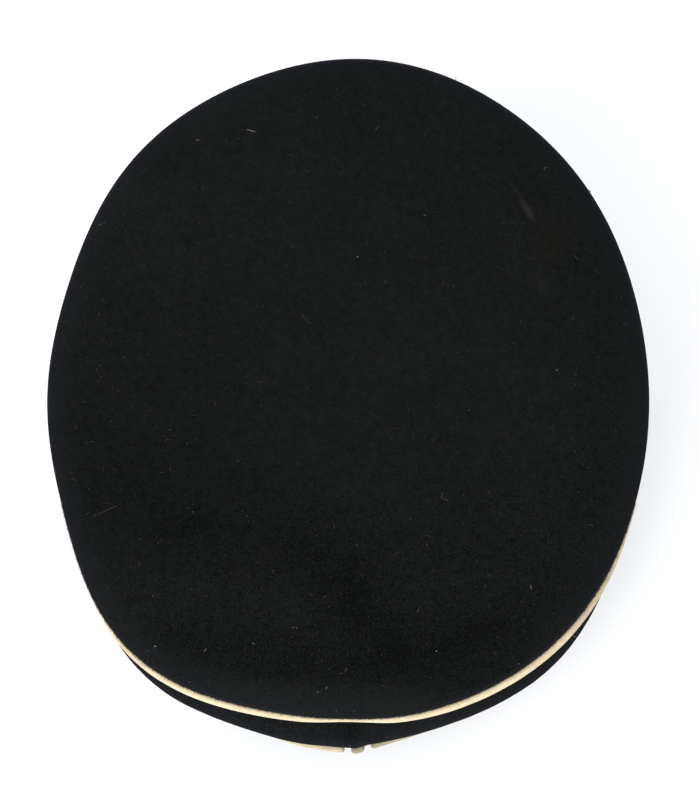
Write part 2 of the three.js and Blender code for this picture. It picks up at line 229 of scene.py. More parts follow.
def resting_place():
    """Where the leant cap's origin stands, from the rim piping's box."""
    angles = np.linspace(0, FULL_TURN, 1440, endpoint=False)[:, None]
    turn = np.linspace(0, FULL_TURN, 24, endpoint=False)
    piping = tip(rim_point(angles, RIM_PIPING_R * np.cos(turn), RIM_PIPING_R * np.sin(turn)))
    low, high = (np.array(corner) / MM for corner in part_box("crown_piping"))
    return (low + high) / 2 - (piping.min((0, 1)) + piping.max((0, 1))) / 2


PLACE = resting_place()


def lean_back(points):
    """Cap frame in millimetres to row frame in metres."""
    return (tip(points) + PLACE) * MM


# ---- camera, floor and light


def new_object(name, data):
    """An object of the scene that holds the data."""
    made = bpy.data.objects.new(name, data)
    bpy.context.scene.collection.objects.link(made)
    return made


CAMERA_TARGET = (0, -25.75, 110)  # in the cap's own frame, as are the next two
CAMERA_ELEVATION = math.radians(78)
CAMERA_DISTANCE = 950
CAMERA_LENS = 105.1


def point_at(obj, place, target):
    """Puts an object at a place and turns it to a target."""
    obj.location = Vector(place)
    obj.rotation_mode = "QUATERNION"
    obj.rotation_quaternion = (Vector(target) - Vector(place)).to_track_quat("-Z", "Y")


def set_sockets(node, values):
    """Sets the values of a node's sockets."""
    for key, value in values.items():
        node.inputs[key].default_value = value


def make_camera():
    """The camera looks down on the back of the cap."""
    camera = new_object("camera", bpy.data.cameras.new("camera"))
    camera.data.lens = CAMERA_LENS
    towards = np.array([0, math.cos(CAMERA_ELEVATION), math.sin(CAMERA_ELEVATION)])
    place = CAMERA_TARGET + CAMERA_DISTANCE * towards
    point_at(camera, lean_back(place), lean_back(CAMERA_TARGET))
    bpy.context.scene.camera = camera


# name, place, watts, width and height in metres, colour
LAMPS = [
    ("side_softbox", (1.05, 1.25, 1.25), 26.0, (1.4, 1.2), (1.0, 1.0, 1.0)),
    ("rear_softbox", (-0.4, 1.5, 1.2), 7.0, (1.6, 1.0), (1.0, 0.99, 0.98)),
    ("front_softbox", (0.3, -1.5, 1.5), 5.5, (1.4, 1.0), (0.85, 0.9, 1.0)),
]
LAMP_TARGET = (0, 0, 0.1)
SKY = {"Color": (0.985, 0.99, 1.0, 1), "Strength": 1.06}
TABLE_HALF = 4.0  # metres
TABLE = {"Base Color": (0.93, 0.94, 0.95, 1), "Roughness": 0.7, "Specular IOR Level": 0.1}


def make_lights():
    """Three large soft lamps and an even pale surround."""
    for name, place, watts, (width, height), colour in LAMPS:
        lamp = bpy.data.lights.new(name, "AREA")
        lamp.shape = "RECTANGLE"
        lamp.size, lamp.size_y = width, height
        lamp.energy = watts
        lamp.color = colour
        point_at(new_object(name, lamp), place, LAMP_TARGET)
    world = bpy.data.worlds.new("surround")
    world.use_nodes = True
    set_sockets(world.node_tree.nodes["Background"], SKY)
    bpy.context.scene.world = world
    bpy.context.scene.view_settings.view_transform = "Standard"


def make_floor():
    """A plain pale table, level with the cap's lowest point."""
    half = TABLE_HALF
    corners = [(-half, -half, 0), (half, -half, 0), (half, half, 0), (-half, half, 0)]
    mesh = bpy.data.meshes.new("floor")
    mesh.from_pydata(corners, [], [(0, 1, 2, 3)])
    material = bpy.data.materials.new("pale_table")
    material.use_nodes = True
    set_sockets(material.node_tree.nodes["Principled BSDF"], TABLE)
    mesh.materials.append(material)
    new_object("floor", mesh)


make_camera()
make_lights()
make_floor()

# ---- smooth lines and meshes


def through(points, steps):
    """A smooth line through points, `steps` pieces a chord: cubics whose slope at each point is
    the step from the one before to the one after, over the two chords' length."""
    points = np.asarray(points, float)
    chord = np.linalg.norm(np.diff(points, axis=-2), axis=-1, keepdims=True)
    before = np.concatenate([points[..., :1, :], points[..., :-1, :]], -2)
    after = np.concatenate([points[..., 1:, :], points[..., -1:, :]], -2)
    none = np.zeros_like(chord[..., :1, :])
    both = np.concatenate([none, chord], -2) + np.concatenate([chord, none], -2)
    slope = (after - before) / np.maximum(both, 1e-9)
    t = (np.arange(steps) / steps)[:, None]
    start, end = points[..., :-1, None, :], points[..., 1:, None, :]
    leave = (slope[..., :-1, :] * chord)[..., None, :]
    arrive = (slope[..., 1:, :] * chord)[..., None, :]
    line = (2 * t**3 - 3 * t**2 + 1) * start + (t**3 - 2 * t**2 + t) * leave
    line = line + (3 * t**2 - 2 * t**3) * end + (t**3 - t**2) * arrive
    line = line.reshape(*points.shape[:-2], -1, 3)
    return np.concatenate([line, points[..., -1:, :]], -2)


WAVES_ADDED = 24
WAVE_SPREAD = (0.7, 1.6)  # shortest and longest of them, against the wavelength given


def waves(places, height, wavelength, seed):
    """Smooth unrest between about -height and height: many cosines added up, each with its own
    direction, wavelength and phase."""
    random = np.random.default_rng(seed)
    direction = random.normal(size=(WAVES_ADDED, places.shape[-1]))
    direction /= np.linalg.norm(direction, axis=1, keepdims=True)
    pace = FULL_TURN / (wavelength * random.uniform(*WAVE_SPREAD, (WAVES_ADDED, 1)))
    phase = random.uniform(0, FULL_TURN, WAVES_ADDED)
    total = np.cos(places @ (direction * pace).T + phase).sum(-1)
    return height * (total * math.sqrt(2 / WAVES_ADDED) / 2)


def bell(places, middle, width):
    """exp(-(d / width)^2), d being the distance of (x, y) places from a middle."""
    offset = places - np.array(middle, float)
    return np.exp(-((offset / width) ** 2).sum(-1))


def patches(places, rows):
    """Bells added up: each row gives a middle, a width and an amount."""
    return sum(amount * bell(places, middle, width) for middle, width, amount in rows)


def crowd(way, strength):
    """Places from 0 to 1, crowded towards both ends: s - strength sin(2 pi s) / (2 pi)."""
    return way - strength * np.sin(FULL_TURN * way) / FULL_TURN


def smooth_step(value, low, high):
    """0 below low, 1 above high, and an even S between."""
    t = np.clip((value - low) / (high - low), 0, 1)
    return t * t * (3 - 2 * t)


def grid_faces(rows, columns, is_ring, is_tube):
    """Quads between a grid's points: rows and columns of their four corners, not yet wrapped."""
    rings, strips = rows - (not is_ring), columns - (not is_tube)
    i, j = np.indices((rings, strips))
    row = np.stack([i, i, i + 1, i + 1], -1).reshape(-1, 4)
    column = np.stack([j, j + 1, j + 1, j], -1).reshape(-1, 4)
    return row, column


def keep_values(mesh, name, values):
    """Keeps a value for each of a mesh's points, which materials read by its name."""
    attribute = mesh.attributes.new(name, "FLOAT", "POINT")
    attribute.data.foreach_set("value", values.astype(np.float32).ravel())


def add_piece(name, points, faces, nodes=(), slot=None, tone=None):
    """Makes a piece from cap-frame points, rides it on the cap and hides the parts it stands for.
    """
    mesh = bpy.data.meshes.new(name)
    mesh.from_pydata(lean_back(points).tolist(), [], faces)
    mesh.polygons.foreach_set("use_smooth", np.ones(len(mesh.polygons), bool))
    if tone is not None:
        keep_values(mesh, "tone", tone)
    mesh.update()
    piece = new_object(name, mesh)
    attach(piece, "root")
    if nodes:
        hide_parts(*nodes)
    return piece


def shell(name, grid, is_ring=True, is_tube=True, poles=None, tone=0.0, **claims):
    """A closed skin over a grid of sections. A ring joins its last section to the first, else one
    face closes each end. Poles close the ends of open sections with fans."""
    rows, columns = grid.shape[:2]
    tone = np.broadcast_to(tone, (rows, columns))
    row, column = grid_faces(rows, columns, is_ring, is_tube)
    faces = ((row % rows) * columns + column % columns).tolist()
    points = grid.reshape(-1, 3)
    if poles is not None:
        points = np.concatenate([points, poles])
        here = np.arange(rows)
        following = (here + 1) % rows
        first, last = rows * columns, rows * columns + 1
        upper = np.stack([np.full(rows, first), here * columns, following * columns], -1)
        end = columns - 1
        lower = [np.full(rows, last), following * columns + end, here * columns + end]
        faces += upper.tolist() + np.stack(lower, -1).tolist()
        tone = np.concatenate([tone.ravel(), [tone[:, 0].mean(), tone[:, -1].mean()]])
    if not is_ring:
        first_ring = np.arange(columns)
        faces += [first_ring[::-1].tolist(), ((rows - 1) * columns + first_ring).tolist()]
    return add_piece(name, points, faces, tone=tone, **claims)


# ---- the crown's top

STEPS_ROUND = 600
TOP_ROWS = 46
CROWDING = 1.3  # power by which the top's rows crowd towards the shoulder
FIRST_OUTER, FIRST_INNER = 0.02, 0.06  # the rows next to the middle, as shares of the way out
ROLL_STEPS = 4
TOP_GRID_OUTER = TOP_ROWS + 15  # so many of a section's points lie on its outer face
HEM_ROUNDING = 0.5
HEM_THICK = 1.6
HEM_WIDTH = 2.9
HEM_INNERMOST = -3.8  # out from the middle of the piping
SLACK_POWER = 16  # the slack ends this suddenly at the shoulder


def cloth_edge(angle):
    """How far the top cloth's edge stands out from the middle of the piping."""
    return RIM_PIPING_R + rim("cover", angle)


def hem_height(angle):
    """The hem's height: over the piping, or down beside it on a circle round it."""
    beside = np.clip(cloth_edge(angle) - HEM_ROUNDING, -RIM_PIPING_R, 0)
    return np.sqrt((RIM_PIPING_R + FACET_GAP) ** 2 - beside**2)


def fold_depth(places):
    """How deep the folds are at (x, y) places: a bell of the distance from the fold's line, times
    the depth at the nearest place of the line."""
    depth = 0
    for width, line in FOLDS:
        line = np.array(line, float)
        start, step = line[:-1], np.diff(line, axis=0)
        offset = places[..., None, :] - start[:, :2]
        share = (offset * step[:, :2]).sum(-1) / (step[:, :2] ** 2).sum(-1)
        share = np.clip(share, 0, 1)[..., None]
        distance = np.linalg.norm(offset - share * step[:, :2], axis=-1)
        deep = (start[:, 2:] + share * step[:, 2:])[..., 0]
        nearest = distance.argmin(-1)[..., None]
        distance = np.take_along_axis(distance, nearest, -1)[..., 0]
        deep = np.take_along_axis(deep, nearest, -1)[..., 0]
        depth = depth + deep * np.exp(-((distance / width) ** 2))
    return depth


def top_point(angle, share, below=0.0):
    """The stretched top: from the middle (share 0) to the shoulder (share 1), less the valleys,
    which end at the shoulder, and a slight unrest of the cloth."""
    angle, share = np.broadcast_arrays(np.asarray(angle, float), np.asarray(share, float))
    shoulder = rim("reach", angle) - RIM_PIPING_R + cloth_edge(angle) - SHOULDER_IN
    point = outward(angle) * (shoulder * share)[..., None]
    point[..., 1] += CROWN_CENTRE_Y
    place = point[..., :2]
    unrest = waves(place, 0.35, 55, seed=5) + waves(place, 0.1, 14, seed=6)
    sink = (1 - share**SLACK_POWER) * (fold_depth(place) - unrest)
    point[..., 2] = rim_height(angle, share) + SHOULDER_UP - sink - below
    return point


def top_sections(angle):
    """Sections of the top cloth: out over the top, down the roll, in under the hem, and back. The
    roll's places are counted out and up from the middle of the piping."""
    angle = angle[:, None]
    edge, hem = cloth_edge(angle)[:, 0], hem_height(angle)[:, 0]
    hem_in = np.minimum(edge - HEM_WIDTH, HEM_INNERMOST)
    down = [(edge - 6.6, 8.7), (edge - 3.2, 7.2), (edge - 1, 5), (edge, hem + 1)]
    under = [(edge - HEM_ROUNDING, hem), (hem_in, hem), (hem_in, hem + HEM_THICK)]
    back = [(edge - 2.3, hem + HEM_THICK), (edge - 3.2, 4.8), (edge - 5, 5.9), (edge - 7.4, 6.8)]
    roll = down + under + back
    out = np.stack([np.broadcast_to(out, edge.shape) for out, _ in roll], 1)
    up = np.stack([np.broadcast_to(up, edge.shape) for _, up in roll], 1)
    line = np.stack([angle[:, 0]] * len(roll), 1)
    controls = rim_point(line, out, up)
    share = 1 - (1 - np.linspace(FIRST_OUTER, 1, TOP_ROWS)) ** CROWDING
    upper = top_point(angle, share)
    share = np.linspace(1, FIRST_INNER, TOP_ROWS // 2)
    lower = top_point(angle, share, CLOTH)
    smooth = through(np.concatenate([upper[:, -2:], controls, lower[:, :2]], 1), ROLL_STEPS)
    smooth = smooth[:, ROLL_STEPS:-ROLL_STEPS]
    return np.concatenate([upper[:, :-1], smooth, lower[:, 1:]], 1)


def make_crown_top():
    """The top cloth. Its points keep a tone, with painted shade and light in it, and the roll's
    painted sheen.
    """
    angle = np.linspace(0, FULL_TURN, STEPS_ROUND, endpoint=False)
    grid = top_sections(angle)
    piece = shell(
        "crown_top_cloth",
        grid,
        is_tube=False,
        poles=np.stack([top_point(0, 0.0), top_point(0, 0.0, CLOTH)]),
        tone=top_tone(grid),
        nodes=["crown_top"],
        slot="crown_cloth",
    )
    # Painted sheen down the roll, left out at one place near the back.
    painted_sheen = roll_share(grid) * (1 - bell(grid[..., :2], *PAINTED_SHEEN_GAP))
    keep_values(piece.data, "painted_sheen", np.append(painted_sheen, [0, 1]))
    return piece, grid


# Where the top is made paler, or darker if the amount is below 0: middle, width and amount.
# The dark patch at the wearer's right, at (-98, -80), is painted shade.
TONE_PATCHES = [
    ((-98, -80), 46, -0.08),
    ((-75, -40), 38, 0.09),
    ((-70, -89), 18, 0.09),
    ((-72, 4), 20, 0.05),
    ((-55, 84), 22, -0.18),
    ((-17, 86), 12, 0.05),
    ((14, 72), 16, -0.05),
    ((8, -62), 75, 0.06),
    ((30, -138), 30, 0.06),
    ((46, -62), 38, -0.035),
    ((66, 4), 20, -0.07),
    ((96, 45), 20, 0.05),
    ((84, -95), 25, 0.1),
    ((88, 62), 26, 0.09),
    ((104, 10), 50, -0.075),
]
ROLL_ROWS = (TOP_ROWS - 6, TOP_ROWS + 8)  # where the roll begins and has come all the way down
# Painted sheen down the roll: so much paler is it made.
ROLL_PAINTED_SHEEN_TONE = 0.1
# Painted shade in the folds' valleys: the tone falls by this for each millimetre of depth.
FOLD_PAINTED_SHADE = 0.088  # for each millimetre of depth
# Painted light along the back edge of the top: how much paler it is made.
BACK_PAINTED_LIGHT = 0.22
# The painted light at the back begins and is full at these y, and its middle and half width lie
# along x.
BACK_PAINTED_LIGHT_FROM = (84, 92)
BACK_PAINTED_LIGHT_X, BACK_PAINTED_LIGHT_HALF = 15, 52
PAINTED_SHEEN_GAP = ((-52, 88), 32)  # middle and width of the place where the roll has no painted sheen


def roll_share(grid):
    """How far each row of the top's sections has come down the roll, from 0 to 1."""
    return smooth_step(np.arange(grid.shape[1]), *ROLL_ROWS)


def top_tone(grid):
    """How pale the top cloth is made: below 0 for painted shade in the valleys, and above 0 for
    painted sheen on the roll and painted light at the back."""
    place = grid[..., :2]
    # Painted light along the back edge.
    back_light = smooth_step(grid[..., 1], *BACK_PAINTED_LIGHT_FROM)
    back_light *= np.exp(-(((grid[..., 0] - BACK_PAINTED_LIGHT_X) / BACK_PAINTED_LIGHT_HALF) ** 4))
    tone = patches(place, TONE_PATCHES) + BACK_PAINTED_LIGHT * back_light + ROLL_PAINTED_SHEEN_TONE * roll_share(grid)
    return tone - FOLD_PAINTED_SHADE * fold_depth(place)


# ---- the crown's side

QUARTER_STEPS = 130
WALL_ROWS = 40
WALL_TOP = (0.5, -2.2)  # out and up from the middle of the rim piping
WALL_REACH = 125  # turns an angle into a distance along the wall
SEAM_DEPTH, SEAM_WIDTH = 0.9, 2.0
SEAM_DRAW, SEAM_DRAW_WIDTH = 0.55, 15  # a wider, softer dip
SEAM_FADE = 0.35  # power of the half wave by which both fade towards the wall's edges
SEAM_INSIDE = 0.8  # the inner face dips by this share
SEAM_GAP = 0.03
SEAM_CROWDING = 0.9
# Painted shade: the side cloth is made darker than the top by this.
SIDE_PAINTED_SHADE = -0.16
# Painted shade in the seams, as deep as this and as wide as the next.
SEAM_PAINTED_SHADE = -0.3
SEAM_PAINTED_SHADE_WIDTH = 3.5


def wall_points(angle, share):
    """The side cloth's faces from the rim (share 0) to the band (share 1): the straight line,
    bowed out square to itself by half a wave, and the inner face moved in level from it."""
    top = rim_point(angle, *WALL_TOP)
    bottom = band_point(angle, BAND_PIPING_OUT, BAND_HEIGHT + BAND_PIPING_R + FACET_GAP)
    out = outward(angle)
    fall = bottom - top
    square = np.cross(fall, np.cross(out, fall))
    square /= np.linalg.norm(square, axis=-1, keepdims=True)
    bow = rim("swell", angle) * np.sin(math.pi * share)
    outer = top + fall * share[..., None] + square * bow[..., None]
    inner = outer - out * (CLOTH / (square * out).sum(-1))[..., None]
    return outer, inner


def wall_sections(angle, seam_distance):
    """Sections of the side cloth. Its turned-in edge stands behind the piping, from whose middle
    it is counted, and beside a seam the wall dips in by a bell of the distance."""
    rows = np.linspace(0, 1, WALL_ROWS)
    line, share = np.meshgrid(angle, rows, indexing="ij")
    outer, inner = wall_points(line, share)
    ripple = waves(outer, 0.12, 26, seed=11) + waves(outer, 0.05, 7, seed=12)
    ripple *= np.sin(math.pi * share)
    dip = SEAM_DEPTH * np.exp(-((seam_distance / SEAM_WIDTH) ** 2))[:, None]
    dip += SEAM_DRAW * np.exp(-((seam_distance / SEAM_DRAW_WIDTH) ** 2))[:, None]
    dip = dip * np.sin(math.pi * share) ** SEAM_FADE
    out = outward(line)
    outer += out * (ripple - dip)[..., None]
    inner += out * (ripple - SEAM_INSIDE * dip)[..., None]
    edge_up = hem_height(angle) - FACET_GAP
    turned = [(-3.55, -2.6), (-3.55, edge_up), (-2.75, edge_up + 0.1), (-1.95, edge_up)]
    turned += [(-1.95, -0.6), (-0.9, -1.9)]
    edge = np.stack([rim_point(angle, out, up) for out, up in turned], 1)
    inner = inner[:, ::-1]
    over = through(np.concatenate([inner[:, -3:-1], edge, outer[:, :2]], 1), 4)
    under = through(np.concatenate([outer[:, -2:], inner[:, :2]], 1), 6)
    return np.concatenate([outer[:, :-1], under[:, 6:-6], inner[:, 1:-2], over[:, 4:-5]], 1)


def make_crown_side():
    """Four quarters, each stopped short of its neighbours. Sections crowd towards the seams, where
    shade is painted, and the whole side cloth gets a lighter painted shade."""
    pieces = {}
    crowded = crowd(np.linspace(0, 1, QUARTER_STEPS), SEAM_CROWDING)
    names = ("front_left", "rear_left", "rear_right", "front_right")
    short = 0.5 * SEAM_GAP / BAND_HALF_WIDTH
    for number, name in enumerate(names):
        start, stop = number * math.pi / 2 + short, (number + 1) * math.pi / 2 - short
        angle = start + (stop - start) * crowded
        seam_distance = np.minimum(crowded, 1 - crowded) * (stop - start) * WALL_REACH
        # Painted shade in the seams.
        seam = np.exp(-((seam_distance / SEAM_PAINTED_SHADE_WIDTH) ** 2))
        pieces[name] = shell(
            f"crown_side_{name}",
            wall_sections(angle, seam_distance),
            is_ring=False,
            tone=(SIDE_PAINTED_SHADE + SEAM_PAINTED_SHADE * seam)[:, None],
            nodes=[f"crown_quarter_{name}"],
            slot="crown_cloth",
        )
    return pieces


# ---- pipings

RIM_PIPING_GRID = (900, 24)
RIM_PIPING_TONE = 0.5
RIM_SOIL = [((-104, 50), 26, 0.4), ((92, 75), 14, 0.25)]  # middle, width and amount
BAND_PIPING_SIDES = 20
BAND_PIPING_TONE = 0.3
END_CROWDING = 0.97
END_ROUNDING = 0.8  # an end is rounded over this many radii
# Painted shade at the cord's rounded ends: amount and width.
END_PAINTED_SHADE, END_PAINTED_SHADE_WIDTH = 0.75, 1.2
# Painted shade on the cord towards the right of the back seam: amount, and where it begins and is
# full
RIGHT_PAINTED_SHADE, RIGHT_PAINTED_SHADE_FROM = 0.55, (-1, 3)  # to the right of the seam, by -x
SPOTS_FROM = (-20, 5)


def round_sections(middle, angle, radius, sides):
    """Circles about a line of middles, each square to the way round the cap."""
    turn = -np.linspace(0, FULL_TURN, sides, endpoint=False)
    across = outward(angle)[:, None] * np.cos(turn)[None, :, None]
    lift = np.array([0, 0, 1.0]) * np.sin(turn)[None, :, None]
    return middle[:, None] + (across + lift) * radius[:, None, None]


def make_rim_piping():
    """The cord in the rim seam, a little uneven in thickness and soiled at two places."""
    steps, sides = RIM_PIPING_GRID
    angle = np.linspace(0, FULL_TURN, steps, endpoint=False)
    middle = rim_point(angle, 0, 0)
    radius = RIM_PIPING_R + waves(middle, 0.05, 12, seed=21)
    grid = round_sections(middle, angle, radius, sides)
    tone = RIM_PIPING_TONE - patches(middle[:, :2], RIM_SOIL)
    return shell(
        "rim_piping_cord",
        grid,
        tone=tone[:, None],
        nodes=["crown_piping"],
        slot="piping_cloth",
    )


def piping_run(name, node, start, stop, steps):
    """A stretch of the band's piping. Its ends are rounded: the radius follows a quarter circle.
    Shade is painted at its ends and all over towards the right of the back seam, and it is soiled
    in spots."""
    length = (stop - start) * BAND_HALF_LENGTH
    crowded = crowd(np.linspace(0, 1, steps), END_CROWDING)
    angle = start + (stop - start) * crowded
    end_distance = np.minimum(crowded, 1 - crowded) * length
    near = np.clip(end_distance / (END_ROUNDING * BAND_PIPING_R), 0.02, 1)
    middle = band_point(angle, band_piping_out(angle), BAND_HEIGHT)
    radius = BAND_PIPING_R * np.sqrt(1 - (1 - near) ** 2)
    grid = round_sections(middle, angle, radius, BAND_PIPING_SIDES)
    right = -middle[:, 0]
    # Painted shade at the ends and towards the right of the back seam, and soil in spots.
    shade_and_soil = END_PAINTED_SHADE * np.exp(-end_distance / END_PAINTED_SHADE_WIDTH)
    shade_and_soil += RIGHT_PAINTED_SHADE * smooth_step(right, *RIGHT_PAINTED_SHADE_FROM)
    shade_and_soil += waves(middle, 0.12, 5, seed=23) * smooth_step(right, *SPOTS_FROM)
    return shell(
        name,
        grid,
        is_ring=False,
        tone=(BAND_PIPING_TONE - shade_and_soil)[:, None],
        nodes=[node],
        slot="piping_cloth",
    )


def make_band_piping():
    """The cord between crown and band, with a folded lump beside the back seam."""
    start = back_angle(PIPING_RIGHT_END_X) - FULL_TURN
    stop = back_angle(PIPING_LEFT_END_X)
    cord = piping_run("band_piping_cord", "band_piping", start, stop, 700)
    first, last = (back_angle(x) for x in PIPING_LUMP_X)
    lump = piping_run("band_piping_fold", "piping_end", first, last, 24)
    return cord, lump


# ---- lint

LINT_COUNT = 3000
LINT_STEPS = 8
LINT_EDGE = 1.6  # how far it stays from the top cloth's edge
# Where more of it lies: amount, axis, and the places along it where that begins and is full.
LINT_CROWDS = [(2.2, 1, -10, 90), (2.5, 0, 50, 115), (5, 0, 108, 122)]
LINT_TURN = 1.3
LINT_LENGTH = (-0.05, 0.5)  # mean and spread of its logarithm
LINT_LONGEST = 4
LINT_PALE = 0.0085
LINT_PALE_SPREAD = 0.64
LINT_PALE_RANGE = (0.006, 0.07)
LINT_RADIUS = (0.08, 0.16)
LINT_LIFT = 0.2
FUZZ_COUNT = 5200
FUZZ_STEPS = 3
FUZZ_ARC = (0.6 * math.pi, 1.4 * math.pi)
FUZZ_LENGTH = (-0.8, 0.4)
FUZZ_LONGEST = 1.2
FUZZ_LEAN = 0.7
FUZZ_RADIUS = 0.055
FUZZ_PALE = 0.006

# Single specks and hairs: place, heading and turn in degrees, length and paleness from 0 to 1.
HAIRS = table(
    "x y heading turn length pale",
    [
        (104.8, 20.8, 205, 0, 10.3, 0.055), (94.7, 17.0, 322, 50, 6.6, 0.04),
        (42.5, -134.0, 160, 8, 3.6, 0.15), (20.0, -62.0, 100, 60, 7.0, 0.04),
        (-3.5, -83.3, 20, 0, 0.7, 0.2), (-84.5, -39.0, 90, 0, 0.6, 0.2),
        (13.6, 91.0, 150, 0, 1.1, 0.14), (9.1, 89.2, 60, 0, 1.2, 0.18),
        (22.6, 65.8, 0, 0, 0.5, 0.14), (21.2, 65.9, 0, 0, 0.5, 0.14),
        (57.5, 74.0, 30, 40, 1.6, 0.1), (39.6, 71.6, 150, 0, 1.2, 0.1),
        (-35.4, 74.8, 20, 0, 0.8, 0.2), (78.0, 73.2, 0, 0, 0.8, 0.18),
        (2.9, 84.0, 0, 0, 1.0, 0.07), (-14.2, 89.0, 0, 0, 1.0, 0.07),
        (64.0, 87.0, 30, 0, 1.0, 0.1), (-73.0, 48.0, 90, 20, 2.0, 0.12),
        (-38.0, 11.1, 70, 0, 2.7, 0.05), (-37.1, 13.6, 155, 0, 2.6, 0.05),
        (-10.2, -133.2, 228, 10, 2.2, 0.06), (61.2, -129.9, 320, 80, 1.5, 0.07),
        (-90.8, 67.4, 80, 100, 2.0, 0.08),
    ],
)


def strands(name, line, radius, tone):
    """Thin closed tubes of four sides along many lines at once, square to each line's way."""
    count, steps = line.shape[:2]
    forward = np.gradient(line, axis=1)
    side = np.cross(forward, np.array([0, 0, 1.0]))
    side /= np.linalg.norm(side, axis=-1, keepdims=True)
    up = np.cross(side, forward)
    up /= np.linalg.norm(up, axis=-1, keepdims=True)
    corner = np.radians([45, 135, 225, 315])[:, None]
    ring = side[:, :, None] * np.cos(corner) + up[:, :, None] * np.sin(corner)
    points = (line[:, :, None] + ring * radius[..., None, None]).reshape(-1, 3)
    place, turn_by = grid_faces(steps, 4, False, True)
    quads = (place * 4 + turn_by % 4)[:, ::-1]
    ends = np.array([[0, 1, 2, 3], [3, 2, 1, 0]])
    ends[1] += 4 * (steps - 1)
    faces = np.concatenate([quads, ends])
    faces = (faces + np.arange(count)[:, None, None] * 4 * steps).reshape(-1, 4)
    return add_piece(name, points, faces.tolist(), tone=np.repeat(tone, 4 * steps))


def lay_on_top(grid, x, y):
    """Places on the top's outer face over (x, y): between the two sections beside the angle, and
    on each between the two points whose reach lies about that of (x, y)."""
    count, columns = len(grid), grid.shape[1]
    row = (np.arctan2(x, CROWN_CENTRE_Y - y) / FULL_TURN % 1) * count
    first = np.floor(row).astype(int)
    reach = np.hypot(grid[..., 0], grid[..., 1] - CROWN_CENTRE_Y)
    wanted = np.hypot(x, y - CROWN_CENTRE_Y)
    height = 0
    for section, weight in ((first % count, first + 1 - row), ((first + 1) % count, row - first)):
        inner = np.clip((reach[section] < wanted[..., None]).sum(-1) - 1, 0, columns - 2)
        near, far = reach[section, inner], reach[section, inner + 1]
        share = np.clip((wanted - near) / (far - near), 0, 1)
        low, high = grid[section, inner, 2], grid[section, inner + 1, 2]
        height = height + weight * (low + (high - low) * share)
    return np.stack([x, y, height], -1)


def scattered_lint(random):
    """Short wisps strewn over the top: of many even places some are kept, by a density. Length
    and paleness have long tails."""
    angle = random.uniform(0, FULL_TURN, 6 * LINT_COUNT)
    reach = rim("reach", angle) + rim("cover", angle) - LINT_EDGE
    reach *= np.sqrt(random.uniform(0, 1, angle.size))
    x, y = reach * np.sin(angle), CROWN_CENTRE_Y - reach * np.cos(angle)
    crowds = (amount * smooth_step((x, y)[axis], *span) for amount, axis, *span in LINT_CROWDS)
    density = sum(crowds, 1)
    kept = random.choice(angle.size, LINT_COUNT, replace=False, p=density / density.sum())
    heading = random.uniform(0, FULL_TURN, LINT_COUNT)
    turn = random.normal(0, LINT_TURN, LINT_COUNT)
    length = np.minimum(np.exp(random.normal(*LINT_LENGTH, LINT_COUNT)), LINT_LONGEST)
    pale = LINT_PALE * np.exp(random.normal(0, LINT_PALE_SPREAD, LINT_COUNT))
    return x[kept], y[kept], heading, turn, length, np.clip(pale, *LINT_PALE_RANGE)


def make_lint(grid):
    """Wisps and hairs lying on the top, each along a line whose heading turns evenly, a little
    raised in its middle. Long ones are thin."""
    random = np.random.default_rng(31)
    turned = np.radians(HAIRS["heading"]), np.radians(HAIRS["turn"])
    hairs = (HAIRS["x"], HAIRS["y"], *turned, HAIRS["length"], HAIRS["pale"])
    paired = (np.concatenate(pair) for pair in zip(scattered_lint(random), hairs))
    x, y, heading, turn, length, pale = paired
    way = np.linspace(0, 1, LINT_STEPS)
    course = heading[:, None] + turn[:, None] * way
    step = (length / (LINT_STEPS - 1))[:, None]
    x = x[:, None] + np.cumsum(np.cos(course) * step, 1)
    y = y[:, None] + np.cumsum(np.sin(course) * step, 1)
    thick = random.uniform(*LINT_RADIUS, len(length)) * np.clip(1.4 - 0.12 * length, 0.5, 1.3)
    radius = thick[:, None] * (1 - 0.5 * (2 * way - 1) ** 4)
    line = lay_on_top(grid, x, y)
    lift = random.uniform(0, LINT_LIFT, len(length))[:, None] * np.sin(math.pi * way)
    line[..., 2] += radius + lift
    return strands("lint", line, radius, pale)


def make_hem_fuzz():
    """Short dark fibres that stand off the top cloth's hem over the piping, leaning at random."""
    random = np.random.default_rng(37)
    angle = random.uniform(*FUZZ_ARC, FUZZ_COUNT)
    length = np.minimum(np.exp(random.normal(*FUZZ_LENGTH, FUZZ_COUNT)), FUZZ_LONGEST)
    lean = random.normal(0, FUZZ_LEAN, FUZZ_COUNT)
    edge, hem = cloth_edge(angle), hem_height(angle)
    start = rim_point(angle, edge - HEM_ROUNDING, hem + random.uniform(0, 1.0, FUZZ_COUNT))
    around = outward(angle + math.pi / 2)
    forward = outward(angle) * np.cos(lean)[:, None] + around * np.sin(lean)[:, None]
    forward[:, 2] = random.uniform(-0.3, 0.3, FUZZ_COUNT)
    way = np.linspace(0, 1, FUZZ_STEPS)
    line = start[:, None] + forward[:, None] * (0.5 + length[:, None, None]) * way[None, :, None]
    radius = np.full((FUZZ_COUNT, 1), FUZZ_RADIUS) * (1 - 0.5 * way)
    return strands("hem_fuzz", line, radius, np.full(FUZZ_COUNT, FUZZ_PALE))


# ---- band

BAND_STEPS = 480
FOOT = 6  # height of the rounded lower edge


